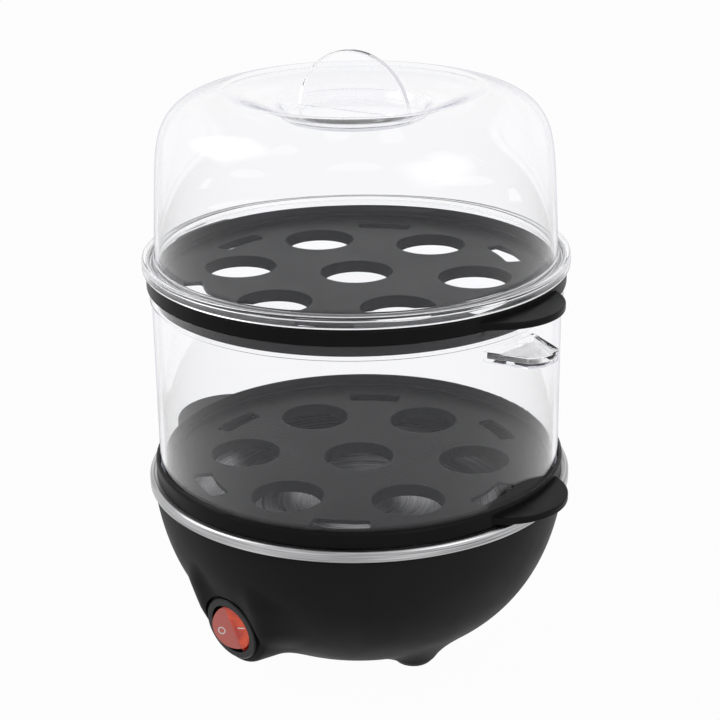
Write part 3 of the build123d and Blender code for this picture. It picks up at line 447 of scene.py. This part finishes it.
def housing_distance(points):
    """Distance outside the housing: the bowl, a boss round the switch that is open upwards and
    swells into it, four flared feet and the pad of the cord gland, each filleted into the bowl."""
    x, y, z = np.moveaxis(points, -1, 0)
    slope = bowl_radius(z + 0.5) - bowl_radius(z - 0.5)
    body = np.maximum((np.hypot(x, y) - bowl_radius(z)) / np.hypot(1, slope), BOTTOM_Z - z)
    depth, up = -(points - SWITCH_FACE) @ SWITCH_OUT, (points - SWITCH_FACE) @ SWITCH_UP
    boss_r = np.hypot(x, np.minimum(up, 0))
    flank = (boss_r - BOSS_R - BOSS_FLARE * (depth - BOSS_FRONT)) * BOSS_COSINE
    boss = np.maximum(round_edge(flank, BOSS_FRONT - depth, BOSS_EDGE), depth - BOSS_BACK)
    body = smooth_union(body, boss, swell(x, up))
    for angle in FOOT_ANGLES:
        turn = math.radians(angle)
        reach = np.hypot(x - FOOT_PITCH * math.cos(turn), y - FOOT_PITCH * math.sin(turn))
        foot = round_edge((reach - FOOT_R - FOOT_FLARE * z) * FOOT_COSINE, -z, FOOT_EDGE)
        body = smooth_union(body, foot, FOOT_FILLET)
    pad = round_edge(np.hypot(x, z - PAD_Z) - PAD_R, y - PAD_FACE, PAD_EDGE)
    return smooth_union(body, np.maximum(pad, PAD_ROOT - y), PAD_FILLET)


def surface_at(level, directions, centre):
    """Points where rays from a centre cross a level of the housing distance, by repeated halving
    between 20 and 160 mm out."""
    near, far = np.full(directions.shape[:-1], 20.0), np.full(directions.shape[:-1], 160.0)
    for _ in range(40):
        middle = (near + far) / 2
        outside = housing_distance(centre + directions * middle[..., None]) > level
        near, far = np.where(outside, near, middle), np.where(outside, middle, far)
    return centre + directions * near[..., None]


def bar(name, radius, origin, axis, low, high):
    """Round bar along an axis, from one distance to another, as a cutter."""
    rod = turned(name, [[0, low], [radius, low], [radius, high], [0, high]], 180)
    turn = Vector((0, 0, 1)).rotation_difference(Vector(axis)).to_matrix().to_4x4()
    return move_mesh(rod, Matrix.Translation(Vector(origin)) @ turn)


def copy_of(node):
    """Copy of a CAD node's mesh with its loose triangles joined."""
    mesh = frame["nodes"][node].data.copy()
    weld(mesh, 0.001)
    return link(node + "_copy", mesh)


def make_housing(rows=170, columns=320):
    """Outer skin of the housing, a grid of rays from a point on the axis: the tilt runs from the
    top edge to the bottom opening, and the columns stand closer round the boss. It is merged with
    the moulding's own inner walls, lugs and screw bosses, and the switch and gland seats are cut
    again."""
    eye_z, crowding = 90.0, 0.4
    centre = np.array([0.0, 0.0, eye_z])
    tilt = np.linspace(math.atan2(eye_z - BOWL_TOP_Z, BOWL_TOP_R),
                       math.atan2(eye_z - BOTTOM_Z, OPENING_R), rows)[:, None]
    spun = np.linspace(0, 2 * math.pi, columns, endpoint=False)
    turn = (spun - crowding * np.sin(spun))[None, :] - math.pi / 2
    directions = np.stack([np.cos(tilt) * np.cos(turn), np.cos(tilt) * np.sin(turn),
                           -np.sin(tilt) * np.ones_like(turn)], axis=-1)
    outer = surface_at(PROUD, directions, centre)
    inner = surface_at(SUNK, directions, centre)[::-1]
    outer[..., 2] = np.clip(outer[..., 2], 0.0, BOWL_TOP_Z)
    points = np.concatenate([outer, inner]).reshape(-1, 3)
    skin = solid_mesh("housing_shell", points, quads(2 * rows, columns, True))
    merge_solids(skin, [copy_of("base_housing")])
    gland, back = (0, PAD_FACE, PAD_Z), (0, 1, 0)
    seats = [("bezel_seat", 15.6, SWITCH_FACE, SWITCH_OUT, -2.0, 12),
             ("barrel_bore", 12.75, SWITCH_FACE, SWITCH_OUT, -9, 4),
             ("gland_seat", 8.25, gland, back, 0.0, 9), ("gland_bore", 5.5, gland, back, -12, 4)]
    return merge_solids(skin, [bar(*seat) for seat in seats], "DIFFERENCE")


# ---------------------------------------------------------------- heating dish
def make_dish():
    """Pressed dish in one closed profile of radius, height and corner radius: flat floor, sloping
    shoulder, upright wall and rolled rim, each bend an arc."""
    floor_r, mouth_r, rim_r, sheet = 62.0, 85.6, 92.5, 0.8
    floor, shoulder, top, hem = 60.5, 71.5, 79.5, 74.9
    profile = rounded([
        [0, floor, 0], [floor_r, floor, 12], [mouth_r, shoulder, 6], [mouth_r, top, 2],
        [rim_r, top, 1.3], [rim_r, hem, 0.5], [rim_r - sheet, hem, 0.3],
        [rim_r - sheet, top - sheet, 1.2], [mouth_r + sheet, top - sheet, 1.2],
        [mouth_r + sheet, shoulder - 0.3, 6.8], [floor_r + 0.2, floor - sheet, 11.2],
        [0, floor - sheet, 0]], steps=8)
    return turned("dish", profile, 360)


dress(make_housing(), "base", "housing_black", "base_housing")
dress(make_dish(), "base", "stainless", "heating_dish")


# ---------------------------------------------------------------- clear covers
WALL_R, WALL_THICK = 87.6, 2.0           # outside of the middle cover, and its wall
COVER_LOW, COVER_TOP, COVER_TURN = 81.9, 165.4, -3.0
BAND_HEIGHT, BAND_EXTRA = 6.3, 0.8       # thicker band round the cover's top edge
LID_LOW, LID_SEAT = 167.8, 173.0         # foot of the lid's ring, and of its skirt
FLANGE_TOP, FLANGE_R, FLANGE_THICK, SKIRT_WALL = 177.9, 91.0, 2.0, 2.2
LID_WALL_R, LID_WALL, LID_LEAN = 85.9, 1.8, 0.058        # the lean is in mm per mm of height
KNOB_R, KNOB_THICK, KNOB_TURN = 26.6, 3.4, 11.6
KNOB_RISE, KNOB_ROOT = 25.4, 0.9         # from the well's floor up to its top, and down
TAB_ROOT = WALL_R - 1.0                  # where a finger tab starts, inside the cover's wall
TAB_REACH, TAB_HALF, TAB_TIP_HALF, TAB_BOW = 108.46, 15.5, 9.0, 3.5
TAB_BELOW, TAB_DEEP, TAB_WALL = 8.6, 4.4, 1.6            # below the cover's top, height, wall


def dome_side(inset):
    """Half section of the dome from the flange to the well, moved inwards by the inset: a leaning
    wall, a superellipse shoulder of power 4.92, a cosine slope and the well's side."""
    straight, rise, power = 22.7, 47.9, 4.92
    ridge_r, recess_r, well_r, recess_depth, well_depth = 56.0, 31.0, 28.6, 6.3, 3.4
    foot, height, corner = LID_WALL_R - inset, rise - inset, FLANGE_TOP + straight
    shoulder_r = LID_WALL_R - LID_LEAN * (straight + rise)
    last = (1 - (ridge_r / shoulder_r) ** power) ** (1 / power)
    share = last * np.sin(np.linspace(0, math.pi / 2, 52))
    side_r = (foot - LID_LEAN * (straight + rise * share)) * (1 - share ** power) ** (1 / power)
    side_z = corner + height * share
    along = np.linspace(0, 1, 21)[1:-1]
    slope_r = side_r[-1] + (recess_r + inset - side_r[-1]) * along
    slope_z = side_z[-1] - recess_depth * (1 - np.cos(math.pi * along)) / 2
    low = side_z[-1] - recess_depth
    curve = np.stack([np.append(side_r, slope_r), np.append(side_z, slope_z)], axis=1)
    lip, well = [recess_r + inset, low, 1.0], [well_r + inset, low - well_depth, 1.0]
    return [[r, z, 0] for r, z in curve.tolist()], lip, well, low - well_depth


def make_knob(well_z):
    """Half-disc knob: a thin disc with rounded edges, stood on edge, turned about Z and cut off
    just under the floor of the well."""
    half = KNOB_THICK / 2
    blade = turned("knob_blade", rounded([[0, -half, 0], [KNOB_R, -half, 0.8], [KNOB_R, half, 0.8],
                                          [0, half, 0]]), 200)
    move_mesh(blade, Matrix.Translation((0, 0, well_z + KNOB_RISE - KNOB_R))
              @ Matrix.Rotation(math.radians(KNOB_TURN), 4, "Z")
              @ Matrix.Rotation(math.pi / 2, 4, "X"))
    work = bmesh.new()
    work.from_mesh(blade.data)
    cut = bmesh.ops.bisect_plane(work, geom=[*work.verts, *work.edges, *work.faces],
                                 clear_inner=True, plane_co=(0, 0, (well_z - KNOB_ROOT) * MM),
                                 plane_no=(0, 0, 1))
    rim = [edge for edge in cut["geom_cut"] if isinstance(edge, bmesh.types.BMEdge)]
    bmesh.ops.holes_fill(work, edges=rim)
    work.to_mesh(blade.data)
    work.free()
    return blade


def make_lid():
    """Dome with its flange, skirt and foot ring in one closed profile, and the half-disc knob."""
    outer, outer_lip, outer_well, well_z = dome_side(0)
    inner, inner_lip, inner_well, ceiling = dome_side(LID_WALL)
    plate, skirt_r, foot_r = FLANGE_TOP - FLANGE_THICK, FLANGE_R - SKIRT_WALL, WALL_R - WALL_THICK
    profile = rounded([
        [0, well_z, 0], outer_well, outer_lip, *outer[::-1], [LID_WALL_R - 0.12, FLANGE_TOP, 0.6],
        [FLANGE_R, FLANGE_TOP, 0.9], [FLANGE_R, LID_SEAT, 0.5], [skirt_r, LID_SEAT, 0.5],
        [skirt_r, plate, 0.4], [WALL_R, plate, 0.4], [WALL_R, LID_LOW, 0.6],
        [foot_r, LID_LOW, 0.6], [foot_r, plate, 0.3], [LID_WALL_R - LID_WALL, plate, 0.4],
        *inner, inner_lip, inner_well, [0, ceiling, 0]])
    return merge_solids(turned("lid_dome", profile, 320), [make_knob(well_z)])


def tab_outline(inset, count=28):
    """Outline of a finger tab seen from above, as x outwards and y across, moved in by the inset:
    two sides that draw in, a tip that bows out and a straight root inside the cover's wall."""
    side_share, corner = 0.93, 1.6
    half, tip_half = TAB_HALF - inset * side_share, TAB_TIP_HALF - inset
    tip = TAB_REACH - TAB_BOW - inset
    radius = (tip_half ** 2 + TAB_BOW ** 2) / (2 * TAB_BOW)
    swing = math.asin(tip_half / radius)
    angle = np.linspace(-swing, swing, count)
    arc = np.stack([tip + TAB_BOW - radius + radius * np.cos(angle), radius * np.sin(angle)],
                   axis=1)
    corners = [[TAB_ROOT, -half, 0], [*arc[0], corner], *([x, y, 0] for x, y in arc[1:-1]),
               [*arc[-1], corner], [TAB_ROOT, half, 0]]
    line = rounded(corners, steps=5)
    closing = np.linspace(0, 1, 12)[1:-1, None] * (line[0] - line[-1]) + line[-1]
    return np.concatenate([line, closing])


def make_tab(turn):
    """Open-topped finger tab: rows of its outline, moved in and up, from the middle of its
    underside round the outer wall, over the rim, and down the inner wall to the middle of its
    floor."""
    high = COVER_TOP - TAB_BELOW
    low = high - TAB_DEEP
    floor, edge, middle, inner_root = low + 1.6, 0.45, 6.0, 1.4
    bevel = 0.3 * edge
    section = [(middle, low), (edge, low), (bevel, low + bevel), (0, low + edge),
               (0, high - edge), (bevel, high - bevel), (edge, high), (TAB_WALL - edge, high),
               (TAB_WALL - bevel, high - bevel), (TAB_WALL, high - edge),
               (TAB_WALL, floor + edge), (TAB_WALL + bevel, floor + bevel),
               (TAB_WALL + edge, floor), (middle, floor)]
    rows = []
    for inset, z in section:
        line = tab_outline(inset)
        line[:, 0] = np.maximum(line[:, 0], TAB_ROOT + (0 if inset <= 1 else inner_root))
        rows.append(np.column_stack([line, np.full(len(line), z)]))
    under, inside = (np.tile(row.mean(axis=0), (len(row), 1)) for row in (rows[0], rows[-1]))
    points = np.concatenate([under, *rows, inside])
    tab = solid_mesh("finger_tab", points, quads(len(rows) + 2, len(under), False))
    return move_mesh(tab, Matrix.Rotation(math.radians(COVER_TURN + turn), 4, "Z"))


def make_middle_cover():
    """Straight clear wall with a thicker band at the top and a finger tab on each side. The
    profile starts and ends half-way up the inside."""
    inner, band_r, band_low = WALL_R - WALL_THICK, WALL_R + BAND_EXTRA, COVER_TOP - BAND_HEIGHT
    profile = rounded([
        [inner, 120.0, 0], [inner, COVER_LOW, 0.5], [WALL_R, COVER_LOW, 0.5],
        [WALL_R, band_low, 0.4], [band_r, band_low + 0.4, 0.4], [band_r, COVER_TOP, 0.5],
        [inner, COVER_TOP, 0.5], [inner, 121.0, 0]])
    wall = turned("middle_wall", profile, 320, closed=True)
    return merge_solids(wall, [make_tab(0), make_tab(180)])


dress(make_lid(), "lid", "clear_plastic", "lid")
dress(make_middle_cover(), "middle_cover", "clear_plastic", "middle_cover")


# ---------------------------------------------------------------- floor, light and camera
WORLD_LIGHT = 0.55                       # strength of the surroundings as a light
FLOOR_HALF, FLOOR_SEEN = 3.0, 0.97       # half its side in metres, and how white it is seen
LAMP_TARGET = (0, 0, 0.1)
LAMP_PEAK = 36.0                         # brings the mean of the fading strength to 1
CAMERA_PLACE = Vector((0.5136, -0.5508, 0.4094))
CAMERA_TURN = math.radians(43.0) + math.radians(-0.078)
CAMERA_PITCH, CAMERA_ROLL = math.radians(20.57), math.radians(-0.8)
CAMERA_LENS, CAMERA_SENSOR = 92.31, 36.0


def background_ray(tree):
    """1 for rays that see the surroundings: from the camera, a mirror or through clear plastic."""
    path = add(tree, "ShaderNodeLightPath").outputs
    seen = add(tree, "ShaderNodeMath", {0: path["Is Camera Ray"], 1: path["Is Glossy Ray"]},
               operation="MAXIMUM")
    return add(tree, "ShaderNodeMath", {0: seen.outputs[0], 1: path["Is Transmission Ray"]},
               operation="MAXIMUM").outputs[0]


def make_world():
    """White where it is seen, softer grey where it lights."""
    world = bpy.data.worlds.new("studio")
    bpy.context.scene.world = world
    world.use_nodes = True
    tree = world.node_tree
    tree.nodes.clear()
    light, white = (add(tree, "ShaderNodeBackground", Color=linear("ffffff"), Strength=strength)
                    for strength in (WORLD_LIGHT, 1.0))
    mix = add(tree, "ShaderNodeMixShader", {0: background_ray(tree), 1: light.outputs[0],
                                            2: white.outputs[0]})
    add(tree, "ShaderNodeOutputWorld", {"Surface": mix.outputs[0]})


def make_floor():
    """Pale floor under the feet that stays near white where it is seen and keeps a soft shadow."""
    corners = [(x * FLOOR_HALF, y * FLOOR_HALF, 0) for x, y in ((-1, -1), (1, -1), (1, 1), (-1, 1))]
    mesh = bpy.data.meshes.new("floor")
    mesh.from_pydata(corners, [], [(0, 1, 2, 3)])
    material, tree, shader = new_material("pale_floor", "9c9c9c", 0.9)
    glow = add(tree, "ShaderNodeEmission", Color=linear("ffffff"), Strength=1.0)
    share = add(tree, "ShaderNodeMath", {0: background_ray(tree), 1: FLOOR_SEEN},
                operation="MULTIPLY")
    mix = add(tree, "ShaderNodeMixShader", {0: share.outputs[0], 1: shader.outputs[0],
                                            2: glow.outputs[0]})
    tree.links.new(mix.outputs[0], tree.nodes["Material Output"].inputs["Surface"])
    mesh.materials.append(material)
    link("floor", mesh)


def soft_lamp(name, place, size, power):
    """Square soft box that points at the object, bright in the middle and fading to its edges: the
    strength is 36 u (1 - u) v (1 - v) across the box."""
    data = bpy.data.lights.new(name, "AREA")
    data.size = size
    data.energy = power
    data.use_nodes = True
    tree = data.node_tree
    spot = add(tree, "ShaderNodeNewGeometry").outputs["Parametric"]
    across = add(tree, "ShaderNodeSeparateXYZ", {"Vector": spot}).outputs
    fades = []
    for side in (across["X"], across["Y"]):
        rest = add(tree, "ShaderNodeMath", {0: 1.0, 1: side}, operation="SUBTRACT")
        fades.append(add(tree, "ShaderNodeMath", {0: side, 1: rest.outputs[0]},
                         operation="MULTIPLY").outputs[0])
    fade = add(tree, "ShaderNodeMath", {0: fades[0], 1: fades[1]}, operation="MULTIPLY")
    strength = add(tree, "ShaderNodeMath", {0: fade.outputs[0], 1: LAMP_PEAK},
                   operation="MULTIPLY")
    tree.links.new(strength.outputs[0], tree.nodes["Emission"].inputs["Strength"])
    lamp = link(name, data)
    lamp.location = place
    aim = Vector(LAMP_TARGET) - Vector(place)
    lamp.rotation_euler = aim.to_track_quat("-Z", "Y").to_euler()


def make_camera():
    """Camera in front of the switch and to its right, looking down on the trays."""
    data = bpy.data.cameras.new("camera")
    data.lens, data.sensor_width = CAMERA_LENS, CAMERA_SENSOR
    data.clip_start, data.clip_end = 0.05, 20
    camera = link("camera", data)
    camera.matrix_world = (Matrix.Translation(CAMERA_PLACE) @ Matrix.Rotation(CAMERA_TURN, 4, "Z")
                           @ Matrix.Rotation(math.pi / 2 - CAMERA_PITCH, 4, "X")
                           @ Matrix.Rotation(CAMERA_ROLL, 4, "Z"))
    bpy.context.scene.camera = camera


make_world()
make_floor()
soft_lamp("key_left", (-1.3, -0.9, 1.5), size=1.6, power=13.0)
soft_lamp("fill_right", (1.5, 0.1, 0.9), size=1.4, power=7.0)
make_camera()
bpy.context.scene.view_settings.view_transform = "Standard"
